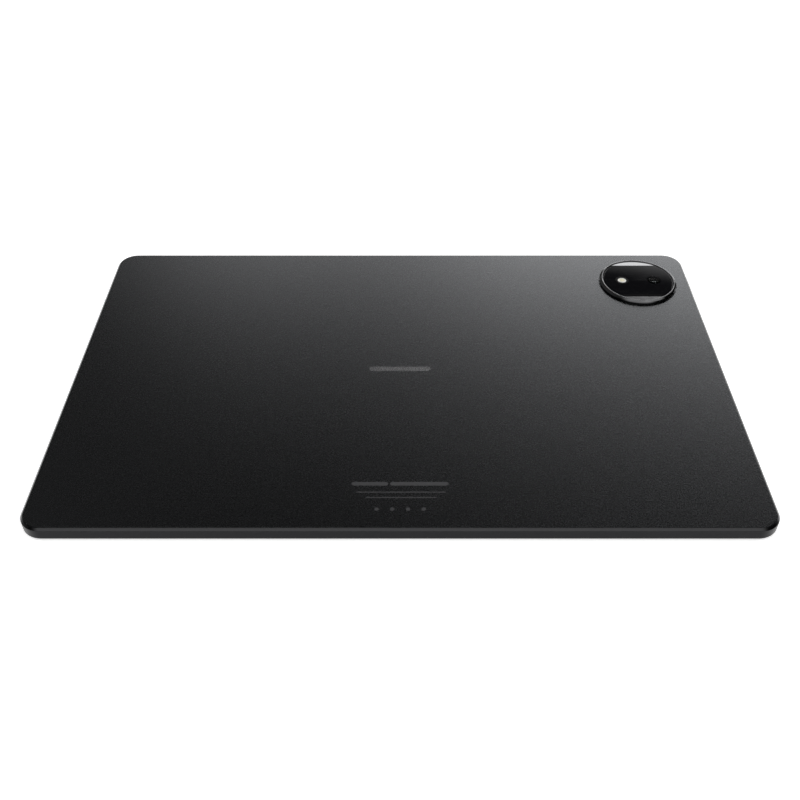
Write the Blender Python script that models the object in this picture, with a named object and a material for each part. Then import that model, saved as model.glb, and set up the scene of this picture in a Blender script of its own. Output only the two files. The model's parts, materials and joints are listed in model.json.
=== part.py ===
"""Tablet computer of the 12.3 inch class, lying on its screen with its back cover up.

+X runs along the long side, +Y points to the long edge that carries the volume rocker, and +Z points out
of the back cover. The origin is on the outer face of the front glass, at the middle of the outline.

An inset is a distance inwards from the outermost outline of the body.
"""

import math

import bmesh
import bpy

MM = 0.001

# Driving sizes of the body
BODY_X = 274.5 * MM
BODY_Y = 180.5 * MM
BODY_Z = 5.8 * MM
BODY_CORNER = 8.6 * MM
CORNER_STEPS = 8
JOINT_GAP = 0.1 * MM
LAYER_GAP = 0.05 * MM

# Layers, from the front glass up to the back cover
GLASS_Z = (0.0, 0.60 * MM)
PANEL_Z = (0.70 * MM, 1.45 * MM)
WEB_Z = (1.55 * MM, 1.95 * MM)
FLOOR_Z = WEB_Z[1] + 0.1 * MM
BATTERY_TOP = 4.95 * MM
BOARD_Z = (2.50 * MM, 3.10 * MM)
SHELF_Z = 4.85 * MM
COVER_Z = (5.10 * MM, BODY_Z)

# Section of the frame
LIP_Z = 0.20 * MM
EDGE_ROUND = 1.20 * MM
EDGE_ROUND_STEPS = 4
CHAMFER = 0.85 * MM
COVER_SEAT = 0.97 * MM
GLASS_SEAT = 1.45 * MM
FRONT_WALL = 2.00 * MM
BACK_WALL = 3.20 * MM
INNER_X = BODY_X / 2 - BACK_WALL
INNER_Y = BODY_Y / 2 - BACK_WALL

# Rear camera island
CAMERA_X = 112.8 * MM
CAMERA_Y = 65.6 * MM
CAMERA_OFFSET = 7.55 * MM
ISLAND_RADIUS = 18.05 * MM
ISLAND_BASE_Z = COVER_Z[1] + 0.07 * MM
ISLAND_FLOOR_Z = 6.30 * MM
ISLAND_PLATE_Z = 6.85 * MM
ISLAND_TOP_Z = 7.35 * MM
ISLAND_STEPS = 64
WINDOW_RADIUS = 16.1 * MM
WINDOW_HALF_HEIGHT = 12.5 * MM
WINDOW_Z = (6.38 * MM, 7.20 * MM)
WINDOW_GAP = 0.12 * MM
LENS_HOLE = 3.2 * MM
FLASH_HOLE = 2.3 * MM
FOCUS_TRAVEL = 0.30 * MM

# Side keys
KEY_Z = 3.35 * MM
KEY_HEIGHT = 2.0 * MM
KEY_PROUD = 0.40 * MM
KEY_GAP = 0.20 * MM
FLANGE_EXTRA = 2.0 * MM
FLANGE_HEIGHT = 2.6 * MM
FLANGE_THICK = 0.50 * MM
POWER_Y = 66.0 * MM
POWER_LENGTH = 14.0 * MM
POWER_FLANGE_GAP = 0.20 * MM
VOLUME_X = 96.0 * MM
VOLUME_LENGTH = 24.0 * MM
VOLUME_FLANGE_GAP = 0.45 * MM
VOLUME_LEVER = 9.0 * MM
SWITCH = (3.8 * MM, 2.0 * MM, 3.0 * MM)
PLUNGER = (1.6 * MM, 1.0 * MM, 1.05 * MM)
PLUNGER_SINK = 0.35 * MM

# Openings in the side walls
PORT_Z = 3.1 * MM
PORT_INNER = (8.34 * MM, 2.56 * MM)
PORT_WALL = 0.30 * MM
PORT_LENGTH = 7.3 * MM
TONGUE = (6.69 * MM, 0.70 * MM)
GRILLE_Y = 42.0 * MM
GRILLE_SLOTS = 6
GRILLE_PITCH = 5.0 * MM
GRILLE_SLOT = (3.6 * MM, 1.1 * MM)
MICROPHONE_X = 40.0 * MM
MICROPHONE_HOLE = 0.5 * MM

# Front camera and light sensor
FRONT_LENS_Y = 85.7 * MM
FRONT_LENS_RADIUS = 1.15 * MM

# Plan of the inside
SPEAKER = (20.5 * MM, 38.0 * MM, 2.6 * MM)
SPEAKER_Y = 39.0 * MM
SPEAKER_X = INNER_X - 0.75 * MM - SPEAKER[0] / 2
CELL = (90.0 * MM, 110.0 * MM)
CELL_Y = -29.0 * MM
CELLS_X = (-63.0 * MM, 31.0 * MM)
RIBS_X = (-110.4 * MM, -16.0 * MM, 78.0 * MM)
BOARD_RIGHT = 108.0 * MM
BOARD_LEFT = -60.0 * MM
BOARD_TOP = 80.0 * MM
BOARD_STRIP_Y = 34.0 * MM
BOARD_LEG_X = 80.0 * MM
BOARD_BOTTOM = -82.0 * MM
SCREWS = (
    (-56.0 * MM, 38.0 * MM),
    (-56.0 * MM, 76.0 * MM),
    (50.0 * MM, 76.0 * MM),
    (104.0 * MM, 38.0 * MM),
    (84.0 * MM, -20.0 * MM),
    (104.0 * MM, -60.0 * MM),
)
SCREW_RADIUS = 0.65 * MM
SCREW_HEAD = 1.4 * MM
BOSS_RADIUS = 1.9 * MM
DISPLAY_FLEX_X = 94.0 * MM
DISPLAY_FLEX_WIDTH = 24.0 * MM

# Turns of a piece built along its local +Z, so that this axis faces out of a side of the body
FACING = {
    "+x": (90, 0, 90),
    "-x": (90, 0, -90),
    "+y": (90, 0, 180),
    "-y": (90, 0, 0),
    "+z": (0, 0, 0),
}

# name: colour, roughness, metallic
FINISHES = {
    "graphite_satin": ((0.045, 0.045, 0.048), 0.42, 0.7),
    "anodised_edge": ((0.060, 0.060, 0.063), 0.32, 1.0),
    "dark_chrome": ((0.30, 0.30, 0.31), 0.10, 1.0),
    "black_glass": ((0.006, 0.006, 0.007), 0.05, 0.0),
    "clear_glass": ((0.60, 0.65, 0.66), 0.02, 0.0),
    "diffuser": ((0.85, 0.84, 0.76), 0.35, 0.0),
    "black_plastic": ((0.012, 0.012, 0.013), 0.55, 0.0),
    "adhesive": ((0.05, 0.05, 0.05), 0.80, 0.0),
    "panel_metal": ((0.22, 0.22, 0.23), 0.40, 1.0),
    "polyimide": ((0.42, 0.19, 0.04), 0.45, 0.0),
    "board_green": ((0.02, 0.09, 0.04), 0.50, 0.0),
    "chip_black": ((0.02, 0.02, 0.02), 0.45, 0.0),
    "shield_steel": ((0.55, 0.55, 0.54), 0.30, 1.0),
    "battery_foil": ((0.10, 0.10, 0.11), 0.50, 0.2),
    "graphite_sheet": ((0.05, 0.05, 0.05), 0.60, 0.3),
    "port_steel": ((0.50, 0.50, 0.50), 0.25, 1.0),
    "fine_mesh": ((0.03, 0.03, 0.03), 0.70, 0.5),
    "copper": ((0.70, 0.32, 0.18), 0.35, 1.0),
}


# --- Tools ---------------------------------------------------------------------------------------------


def clear_scene():
    for old in list(bpy.data.objects):
        bpy.data.objects.remove(old)


def finish(name):
    """The Principled material of that name, made once."""
    if name in bpy.data.materials:
        return bpy.data.materials[name]
    colour, roughness, metallic = FINISHES[name]
    made = bpy.data.materials.new(name)
    made.use_nodes = True
    shader = made.node_tree.nodes["Principled BSDF"]
    shader.inputs["Base Color"].default_value = (*colour, 1)
    shader.inputs["Roughness"].default_value = roughness
    shader.inputs["Metallic"].default_value = metallic
    made.diffuse_color = (*colour, 1)
    return made


def without_repeats(points):
    kept = []
    for point in points:
        if not kept or math.dist(point, kept[-1]) > 1e-7:
            kept.append(point)
    if math.dist(kept[0], kept[-1]) < 1e-7:
        kept.pop()
    return kept


def rounded(width, height, radius, steps=CORNER_STEPS, centre=(0, 0)):
    """Outline of a rounded rectangle, anticlockwise."""
    points = []
    for quarter, (side_x, side_y) in enumerate(((1, 1), (-1, 1), (-1, -1), (1, -1))):
        x = centre[0] + side_x * (width / 2 - radius)
        y = centre[1] + side_y * (height / 2 - radius)
        for step in range(steps + 1):
            turn = math.radians(90 * (quarter + step / steps))
            points.append((x + radius * math.cos(turn), y + radius * math.sin(turn)))
    return without_repeats(points)


def slot(length, height, steps=4, centre=(0, 0)):
    """Outline with half-round ends, longest along the first axis."""
    return rounded(length, height, height / 2, steps, centre)


def circle(radius, steps=24, centre=(0, 0)):
    turns = [2 * math.pi * step / steps for step in range(steps)]
    return [(centre[0] + radius * math.cos(t), centre[1] + radius * math.sin(t)) for t in turns]


def rectangle(low, high):
    return [low, (high[0], low[1]), high, (low[0], high[1])]


def body_outline(inset):
    """The body's outline, moved inwards by the inset."""
    return rounded(BODY_X - 2 * inset, BODY_Y - 2 * inset, BODY_CORNER - inset)


def clipped_disc(radius, half_height, steps=12):
    """A disc cut off by two level chords: the outline of the camera window."""
    reach = math.asin(half_height / radius)
    points = []
    for start in (-reach, math.pi - reach):
        for step in range(steps + 1):
            turn = start + 2 * reach * step / steps
            points.append((radius * math.cos(turn), radius * math.sin(turn)))
    return points


def at_height(outline, z):
    return [(x, y, z) for x, y in outline]


def add_loft(mesh, loops, ring=False):
    """Adds walls through the loops. A ring joins the last loop to the first, and otherwise both ends are capped."""
    rows = [[mesh.verts.new(point) for point in loop] for loop in loops]
    faces = []
    for lower, upper in zip(rows, rows[1:] + rows[:1] if ring else rows[1:]):
        for here in range(len(lower)):
            following = (here + 1) % len(lower)
            faces.append(mesh.faces.new((lower[here], lower[following], upper[following], upper[here])))
    if not ring:
        faces.append(mesh.faces.new(reversed(rows[0])))
        faces.append(mesh.faces.new(rows[-1]))
    bmesh.ops.recalc_face_normals(mesh, faces=faces)


def piece(name, material, parts, place=(0, 0, 0), facing="+z"):
    """An object made of lofts. Each part is a list of loops, or a list of loops and the word ring."""
    mesh = bmesh.new()
    for part in parts:
        ring = part[-1] == "ring"
        add_loft(mesh, part[:-1] if ring else part, ring)
    data = bpy.data.meshes.new(name)
    mesh.to_mesh(data)
    mesh.free()
    made = bpy.data.objects.new(name, data)
    if material:
        data.materials.append(finish(material))
    bpy.context.scene.collection.objects.link(made)
    made.location = place
    made.rotation_euler = [math.radians(turn) for turn in FACING[facing]]
    return made


def prism(outline, low, high):
    return [at_height(outline, low), at_height(outline, high)]


def turned(profile, steps=24, centre=(0, 0)):
    """Loops of a turned shape from (radius, height) pairs, bottom first."""
    return [at_height(circle(radius, steps, centre), z) for radius, z in profile]


def block(name, material, size, bottom_centre, edge=0.0):
    """A rectangular block standing on a point, with an optional small bevel."""
    outline = rectangle((-size[0] / 2, -size[1] / 2), (size[0] / 2, size[1] / 2))
    made = piece(name, material, [prism(outline, 0, size[2])], bottom_centre)
    if edge:
        soften(made, edge)
    return made


def soften(target, width, steps=1):
    bevel = target.modifiers.new("soft_edges", "BEVEL")
    bevel.width = width
    bevel.segments = steps
    bevel.limit_method = "ANGLE"
    bevel.angle_limit = math.radians(40)


def combine(target, other, operation):
    """Adds a Boolean of the other object, which stays in the file as a hidden helper."""
    other.hide_render = True
    other.display_type = "WIRE"
    boolean = target.modifiers.new(other.name, "BOOLEAN")
    boolean.operation = operation
    boolean.object = other
    return target


def cut(target, name, parts, place=(0, 0, 0), facing="+z"):
    combine(target, piece("cut_" + name, None, parts, place, facing), "DIFFERENCE")


def add(target, name, parts):
    combine(target, piece("add_" + name, None, parts), "UNION")


# --- Enclosure -----------------------------------------------------------------------------------------


def edge_round():
    """(inset, height) pairs of the quarter round at the screen side of the frame."""
    pairs = []
    for step in range(EDGE_ROUND_STEPS + 1):
        turn = math.radians(90 * step / EDGE_ROUND_STEPS)
        inset = EDGE_ROUND * (1 - math.sin(turn))
        pairs.append((inset, LIP_Z + EDGE_ROUND * (1 - math.cos(turn))))
    return pairs


def mid_frame():
    """The outer rim and the web that carries everything, machined from one piece."""
    section = [
        (FRONT_WALL, WEB_Z[0]),
        (FRONT_WALL, GLASS_Z[1] + 0.15 * MM),
        (GLASS_SEAT, GLASS_Z[1] + 0.15 * MM),
        (GLASS_SEAT, LIP_Z),
        *edge_round(),
        (0, SHELF_Z),
        (CHAMFER, SHELF_Z + CHAMFER),
        (COVER_SEAT, SHELF_Z + CHAMFER),
        (COVER_SEAT, SHELF_Z),
        (BACK_WALL, SHELF_Z),
        (BACK_WALL, WEB_Z[1]),
    ]
    frame = piece("mid_frame", "anodised_edge", [[at_height(body_outline(i), z) for i, z in section]])
    add_ribs_and_bosses(frame)
    cut_web(frame)
    cut_walls(frame)
    return frame


def add_ribs_and_bosses(frame):
    root = WEB_Z[0] + 0.1 * MM
    rib_top = 3.2 * MM
    low_y, high_y = CELL_Y - CELL[1] / 2, CELL_Y + CELL[1] / 2
    half = 0.5 * MM
    ribs = [prism(rectangle((x - half, low_y), (x + half, high_y)), root, rib_top) for x in RIBS_X]
    boss_top = BOARD_Z[0] - LAYER_GAP
    bosses = [prism(circle(BOSS_RADIUS, 16, place), root, boss_top) for place in SCREWS]
    add(frame, "ribs_and_bosses", ribs + bosses)


def cut_web(frame):
    low, high = WEB_Z[0] - 0.1 * MM, WEB_Z[1] + 1.0 * MM
    bores = [prism(circle(SCREW_RADIUS + 0.1 * MM, 12, place), low, high) for place in SCREWS]
    flex_slot = rectangle(
        (DISPLAY_FLEX_X - DISPLAY_FLEX_WIDTH / 2 - MM, -INNER_Y),
        (DISPLAY_FLEX_X + DISPLAY_FLEX_WIDTH / 2 + MM, -INNER_Y + 1.7 * MM),
    )
    lens_hole = circle(1.5 * MM, 16, (0, FRONT_LENS_Y))
    camera_bay = rounded(10.4 * MM, 10.4 * MM, MM, 3, (CAMERA_X + CAMERA_OFFSET, CAMERA_Y))
    shallow = [prism(outline, low, WEB_Z[1] + 0.1 * MM) for outline in (flex_slot, lens_hole, camera_bay)]
    cut(frame, "web", bores + shallow)


def cut_walls(frame):
    outside, inside = 1.0 * MM, -(BACK_WALL + 0.5 * MM)
    first = -(GRILLE_SLOTS - 1) / 2 * GRILLE_PITCH
    slots = [
        prism(slot(*GRILLE_SLOT, centre=(first + GRILLE_PITCH * n, 0)), inside, outside)
        for n in range(GRILLE_SLOTS)
    ]
    for side, sign in (("right", 1), ("left", -1)):
        for end, way in (("upper", 1), ("lower", -1)):
            place = (sign * BODY_X / 2, way * GRILLE_Y, PORT_Z)
            cut(frame, f"grille_{side}_{end}", slots, place, "+x" if sign > 0 else "-x")
    shell = [size + 2 * PORT_WALL + 0.24 * MM for size in PORT_INNER]
    deep = -(PORT_LENGTH + 1.2 * MM)
    cut(frame, "port", [prism(slot(*shell, steps=6), deep, outside)], (-BODY_X / 2, 0, PORT_Z), "-x")
    hole = KEY_HEIGHT + 2 * KEY_GAP
    power = slot(POWER_LENGTH + 2 * KEY_GAP, hole)
    cut(frame, "power", [prism(power, inside, outside)], (BODY_X / 2, POWER_Y, KEY_Z), "+x")
    volume = slot(VOLUME_LENGTH + 2 * KEY_GAP, hole)
    cut(frame, "volume", [prism(volume, inside, outside)], (VOLUME_X, BODY_Y / 2, KEY_Z), "+y")
    holes = [prism(circle(MICROPHONE_HOLE, 10, (x, 0)), inside, outside) for x in (-MICROPHONE_X, MICROPHONE_X)]
    cut(frame, "microphones", holes, (0, BODY_Y / 2, PORT_Z), "+y")


def back_cover():
    """A plate with a softened edge, a locating rib inside the frame's wall and a slot for the camera."""
    edge = COVER_SEAT + JOINT_GAP
    soft = 0.12 * MM
    rib = (BACK_WALL + 0.3 * MM, BACK_WALL + 1.1 * MM)
    rib_z = 4.75 * MM
    section = [
        (rib[1], COVER_Z[0]),
        (rib[1], rib_z),
        (rib[0], rib_z),
        (rib[0], COVER_Z[0]),
        (edge, COVER_Z[0]),
        (edge, COVER_Z[1] - soft),
        (edge + soft, COVER_Z[1]),
    ]
    cover = piece("back_cover", "graphite_satin", [[at_height(body_outline(i), z) for i, z in section]])
    opening = slot(2 * CAMERA_OFFSET + 13 * MM, 13 * MM, 8, (CAMERA_X, CAMERA_Y))
    cut(cover, "camera_opening", [prism(opening, COVER_Z[0] - MM, COVER_Z[1] + MM)])
    return cover


def ring_between(outer_inset, inner_inset, low, high):
    """A flat ring that follows the body's outline."""
    outer, inner = body_outline(outer_inset), body_outline(inner_inset)
    return [at_height(outer, low), at_height(outer, high), at_height(inner, high), at_height(inner, low), "ring"]


def enclosure():
    mid_frame()
    back_cover()
    adhesive = ring_between(1.35 * MM, 2.9 * MM, SHELF_Z + LAYER_GAP, COVER_Z[0] - LAYER_GAP)
    piece("cover_adhesive", "adhesive", [adhesive])
    spread = (BOARD_RIGHT - BOARD_LEFT - 4 * MM, BOARD_TOP - BOARD_STRIP_Y - 4 * MM)
    centre = ((BOARD_RIGHT + BOARD_LEFT) / 2, (BOARD_TOP + BOARD_STRIP_Y) / 2)
    sheet = rounded(*spread, 3 * MM, 3)
    piece("heat_spreader", "graphite_sheet", [prism(sheet, 0, 0.15 * MM)], (*centre, 4.60 * MM))


# --- Display -------------------------------------------------------------------------------------------


def front_glass():
    edge = GLASS_SEAT + 0.30 * MM
    section = [
        (edge + 0.25 * MM, GLASS_Z[0]),
        (edge + 0.07 * MM, GLASS_Z[0] + 0.06 * MM),
        (edge, GLASS_Z[0] + 0.22 * MM),
        (edge, GLASS_Z[1]),
    ]
    return piece("front_glass", "black_glass", [[at_height(body_outline(i), z) for i, z in section]])


def display():
    front_glass()
    rim = ring_between(GLASS_SEAT + LAYER_GAP, GLASS_SEAT + 0.25 * MM, 0.05 * MM, 0.70 * MM)
    piece("glass_gasket", "black_plastic", [rim])
    size_x, low_y, high_y = 265.0 * MM, -84.6 * MM, 84.0 * MM
    outline = rounded(size_x, high_y - low_y, 6 * MM, 4)
    panel_place = (0, (low_y + high_y) / 2, 0)
    piece("display_panel", "panel_metal", [prism(outline, *PANEL_Z)], panel_place)
    display_flex(low_y - LAYER_GAP)


def display_flex(panel_edge):
    """A ribbon from the edge of the panel, up through the web and under the leg of the main board."""
    thick = 0.2 * MM
    bend = -INNER_Y + 0.35 * MM
    low, high = 0.9 * MM, FLOOR_Z + thick
    plug_y, plug_top = -76.0 * MM, BOARD_Z[0] - LAYER_GAP
    side = [
        (panel_edge, low),
        (panel_edge, low + thick),
        (bend + thick, low + thick),
        (bend + thick, FLOOR_Z),
        (plug_y, FLOOR_Z),
        (plug_y, plug_top),
        (plug_y - 4 * MM, plug_top),
        (plug_y - 4 * MM, high),
        (bend, high),
        (bend, low),
    ]
    ends = [DISPLAY_FLEX_X - DISPLAY_FLEX_WIDTH / 2, DISPLAY_FLEX_X + DISPLAY_FLEX_WIDTH / 2]
    piece("display_flex", "polyimide", [[[(x, y, z) for y, z in side] for x in ends]])


# --- Cameras -------------------------------------------------------------------------------------------


def camera_bezel():
    """A turned dish with a raised bead. Its bed for the window leaves a plate above and one below."""
    profile = [
        (ISLAND_RADIUS - 0.20 * MM, ISLAND_BASE_Z),
        (ISLAND_RADIUS, ISLAND_BASE_Z + 0.15 * MM),
        (ISLAND_RADIUS, 6.70 * MM),
        (ISLAND_RADIUS - 0.18 * MM, 7.05 * MM),
        (ISLAND_RADIUS - 0.55 * MM, 7.28 * MM),
        (ISLAND_RADIUS - 1.00 * MM, ISLAND_TOP_Z),
        (ISLAND_RADIUS - 1.35 * MM, 7.27 * MM),
        (WINDOW_RADIUS + 0.25 * MM, ISLAND_PLATE_Z),
    ]
    bezel = piece("camera_bezel", "dark_chrome", [turned(profile, ISLAND_STEPS)], (CAMERA_X, CAMERA_Y, 0))
    bed = clipped_disc(WINDOW_RADIUS + WINDOW_GAP, WINDOW_HALF_HEIGHT + WINDOW_GAP)
    above = 8 * MM
    below = ISLAND_BASE_Z - MM
    lens = turned([(3.9 * MM, below), (3.9 * MM, above)], centre=(CAMERA_OFFSET, 0))
    flash = turned([(2.7 * MM, below), (2.7 * MM, above)], centre=(-CAMERA_OFFSET, 0))
    cut(bezel, "window_bed", [prism(bed, ISLAND_FLOOR_Z, above)], bezel.location)
    cut(bezel, "bezel_holes", [lens, flash], bezel.location)
    return bezel


def camera_glass():
    """The black printed window, with a clear opening each for the lens and the flash."""
    edge = 0.15 * MM
    full = clipped_disc(WINDOW_RADIUS, WINDOW_HALF_HEIGHT)
    top = clipped_disc(WINDOW_RADIUS - edge, WINDOW_HALF_HEIGHT - edge)
    heights = (WINDOW_Z[0], WINDOW_Z[1] - edge, WINDOW_Z[1])
    loops = [at_height(outline, z) for outline, z in zip((full, full, top), heights)]
    window = piece("camera_glass", "black_glass", [loops], (CAMERA_X, CAMERA_Y, 0))
    low, high = WINDOW_Z[0] - MM, WINDOW_Z[1] + MM
    lens = turned([(LENS_HOLE, low), (LENS_HOLE, high)], centre=(CAMERA_OFFSET, 0))
    flash = turned([(FLASH_HOLE, low), (FLASH_HOLE, high)], centre=(-CAMERA_OFFSET, 0))
    cut(window, "window_holes", [lens, flash], window.location)
    return window


def rear_camera():
    camera_bezel()
    camera_glass()
    lens_at = (CAMERA_X + CAMERA_OFFSET, CAMERA_Y)
    flash_at = (CAMERA_X - CAMERA_OFFSET, CAMERA_Y)
    pane = LENS_HOLE - WINDOW_GAP
    pane_z = (WINDOW_Z[0] + 0.05 * MM, WINDOW_Z[1] - 0.05 * MM)
    piece("camera_window", "clear_glass", [turned([(pane, pane_z[0]), (pane, pane_z[1])])], (*lens_at, 0))
    dome = FLASH_HOLE - WINDOW_GAP
    profile = [(dome, 6.1 * MM), (dome, 6.95 * MM), (dome - 0.3 * MM, 7.1 * MM), (dome - 1.1 * MM, 7.18 * MM)]
    piece("flash_window", "diffuser", [turned(profile)], (*flash_at, 0))
    can_size = 8.6 * MM
    can_z = (2.85 * MM, 5.55 * MM)
    can = block("camera_can", "black_plastic", (can_size, can_size, can_z[1] - can_z[0]), (*lens_at, can_z[0]))
    well = 3.55 * MM
    cut(can, "focus_well", [turned([(well, 3.5 * MM), (well, 6 * MM)])], (*lens_at, 0))
    barrel = 3.3 * MM
    profile = [
        (barrel, 0),
        (barrel, 1.9 * MM),
        (barrel - 0.25 * MM, 2.25 * MM),
        (barrel - 0.9 * MM, 2.25 * MM),
        (barrel - 1.5 * MM, 1.95 * MM),
        (barrel - 2.3 * MM, 2.10 * MM),
    ]
    piece("camera_lens_barrel", "black_plastic", [turned(profile)], (*lens_at, 3.70 * MM))
    block("camera_sensor_board", "board_green", (9.4 * MM, 9.4 * MM, 0.7 * MM), (*lens_at, FLOOR_Z))
    ribbon_end = lens_at[0] - can_size / 2 - 0.45 * MM
    ribbon = rectangle((BOARD_RIGHT - 7 * MM, CAMERA_Y - 3 * MM), (ribbon_end, CAMERA_Y + 3 * MM))
    piece("camera_flex", "polyimide", [prism(ribbon, FLOOR_Z + 0.1 * MM, FLOOR_Z + 0.3 * MM)])
    led = block("flash_led", "board_green", (5 * MM, 5 * MM, 0.4 * MM), (*flash_at, 4.9 * MM))
    add(led, "led_package", [prism(rounded(2 * MM, 2 * MM, 0.2 * MM, 2, flash_at), 5.2 * MM, 5.95 * MM)])


def front_camera():
    block("front_camera_can", "black_plastic", (5.6 * MM, 3.8 * MM, 2.2 * MM), (0, 84.9 * MM, 2.1 * MM))
    profile = [
        (FRONT_LENS_RADIUS - 0.35 * MM, 0.75 * MM),
        (FRONT_LENS_RADIUS, 0.95 * MM),
        (FRONT_LENS_RADIUS, 2.0 * MM),
    ]
    piece("front_camera_lens", "black_glass", [turned(profile, 16)], (0, FRONT_LENS_Y, 0))
    block("light_sensor", "chip_black", (2.0 * MM, 1.2 * MM, 0.6 * MM), (7 * MM, 85.9 * MM, 0.72 * MM))


# --- Battery and boards --------------------------------------------------------------------------------


def battery():
    for side, x in zip(("left", "right"), CELLS_X):
        outline = rounded(*CELL, 1.5 * MM, 2)
        tops = (0.35 * MM, BATTERY_TOP - FLOOR_Z - 0.35 * MM, BATTERY_TOP - FLOOR_Z)
        slim = rounded(CELL[0] - MM, CELL[1] - MM, MM, 2)
        loops = [at_height(o, z) for o, z in zip((slim, outline, outline, slim), (0, *tops))]
        piece(f"battery_cell_{side}", "battery_foil", [loops], (x, CELL_Y, FLOOR_Z))
    low_y = CELL_Y + CELL[1] / 2 + MM
    strip_top = low_y + 5.5 * MM
    tail = (-8 * MM, 8 * MM)
    outline = [
        (CELLS_X[0] - 30 * MM, low_y),
        (CELLS_X[1] + 30 * MM, low_y),
        (CELLS_X[1] + 30 * MM, strip_top),
        (tail[1], strip_top),
        (tail[1], strip_top + 8 * MM),
        (tail[0], strip_top + 8 * MM),
        (tail[0], strip_top),
        (CELLS_X[0] - 30 * MM, strip_top),
    ]
    piece("battery_board", "board_green", [prism(outline, FLOOR_Z, FLOOR_Z + 0.35 * MM)])


def main_board():
    """An L-shaped board: a strip over the battery cells and a leg beside them."""
    outline = [
        (BOARD_LEFT, BOARD_STRIP_Y),
        (BOARD_LEG_X, BOARD_STRIP_Y),
        (BOARD_LEG_X, BOARD_BOTTOM),
        (BOARD_RIGHT, BOARD_BOTTOM),
        (BOARD_RIGHT, BOARD_TOP),
        (BOARD_LEFT, BOARD_TOP),
    ]
    board = piece("main_board", "board_green", [prism(outline, *BOARD_Z)])
    low, high = BOARD_Z[0] - MM, BOARD_Z[1] + MM
    holes = [prism(circle(SCREW_RADIUS + 0.25 * MM, 12, place), low, high) for place in SCREWS]
    cut(board, "board_holes", holes)
    top = BOARD_Z[1] + LAYER_GAP
    block("processor", "chip_black", (14 * MM, 14 * MM, 1.0 * MM), (12 * MM, 57 * MM, top))
    block("memory_chip", "chip_black", (11.5 * MM, 13 * MM, 0.9 * MM), (29 * MM, 57 * MM, top))
    block("power_chip", "chip_black", (8 * MM, 8 * MM, 0.8 * MM), (70 * MM, 60 * MM, top))
    board_shield(top)


def board_shield(low):
    """A drawn steel can, open towards the board, over the processor and its memory."""
    outer, wall, high = (44 * MM, 30 * MM), 0.2 * MM, 4.5 * MM
    inner = [size - 2 * wall for size in outer]
    outside, inside = rounded(*outer, 1.2 * MM, 2), rounded(*inner, 1.0 * MM, 2)
    loops = [(inside, high - wall), (inside, low), (outside, low), (outside, high)]
    piece("board_shield", "shield_steel", [[at_height(o, z) for o, z in loops]], (20 * MM, 57 * MM, 0))


def screws():
    """Pan-head screws through the board into the bosses, each with a cross recess."""
    under_head = BOARD_Z[1] + LAYER_GAP
    tip = WEB_Z[0] + 0.15 * MM
    head_top = under_head + 0.55 * MM
    profile = [
        (SCREW_RADIUS, tip),
        (SCREW_RADIUS, under_head),
        (SCREW_HEAD, under_head),
        (SCREW_HEAD, head_top - 0.2 * MM),
        (SCREW_HEAD - 0.3 * MM, head_top),
    ]
    long, short = 0.8 * MM, 0.15 * MM
    bars = [rectangle((-long, -short), (long, short)), rectangle((-short, -long), (short, long))]
    for number, place in enumerate(SCREWS, 1):
        screw = piece(f"board_screw_{number}", "shield_steel", [turned(profile, 12)], (*place, 0))
        for bar, outline in enumerate(bars):
            recess = prism(outline, head_top - 0.3 * MM, head_top + MM)
            cut(screw, f"recess_{number}_{bar}", [recess], (*place, 0))


# --- Keys ----------------------------------------------------------------------------------------------


def key_loops(length, flange_gap):
    """A key built outwards along +Z from the body's outer face: a flange, a stem and a cap with soft edges."""
    back = -(BACK_WALL + flange_gap)
    soft = 0.2 * MM
    flange, cap = (length + FLANGE_EXTRA, FLANGE_HEIGHT), (length, KEY_HEIGHT)
    heights = (
        (flange, back - FLANGE_THICK),
        (flange, back),
        (cap, back),
        (cap, KEY_PROUD - soft),
        ((length - soft, KEY_HEIGHT - soft), KEY_PROUD - 0.06 * MM),
        ((length - 3 * soft, KEY_HEIGHT - 3 * soft), KEY_PROUD),
    )
    return [at_height(slot(*size), z) for size, z in heights]


def moved_along(loops, distance):
    return [[(x, y, z + distance) for x, y, z in loop] for loop in loops]


def switch_and_plunger(name, place, facing, flange_back):
    """A side-push switch, and the plunger that the key pushes into it. Heights count outwards from the wall."""
    tip = flange_back - LAYER_GAP
    face = tip - (PLUNGER[2] - PLUNGER_SINK)
    body = rectangle((-SWITCH[0] / 2, -SWITCH[1] / 2), (SWITCH[0] / 2, SWITCH[1] / 2))
    switch = piece(f"{name}_switch", "shield_steel", [prism(body, face - SWITCH[2], face)], place, facing)
    clear = 0.15 * MM
    pocket = rectangle(
        (-PLUNGER[0] / 2 - clear, -PLUNGER[1] / 2 - clear),
        (PLUNGER[0] / 2 + clear, PLUNGER[1] / 2 + clear),
    )
    cut(switch, f"{name}_pocket", [prism(pocket, face - 1.0 * MM, face + MM)], place, facing)
    post = rectangle((-PLUNGER[0] / 2, -PLUNGER[1] / 2), (PLUNGER[0] / 2, PLUNGER[1] / 2))
    piece(f"{name}_plunger", "black_plastic", [prism(post, tip - PLUNGER[2], tip)], place, facing)


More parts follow.
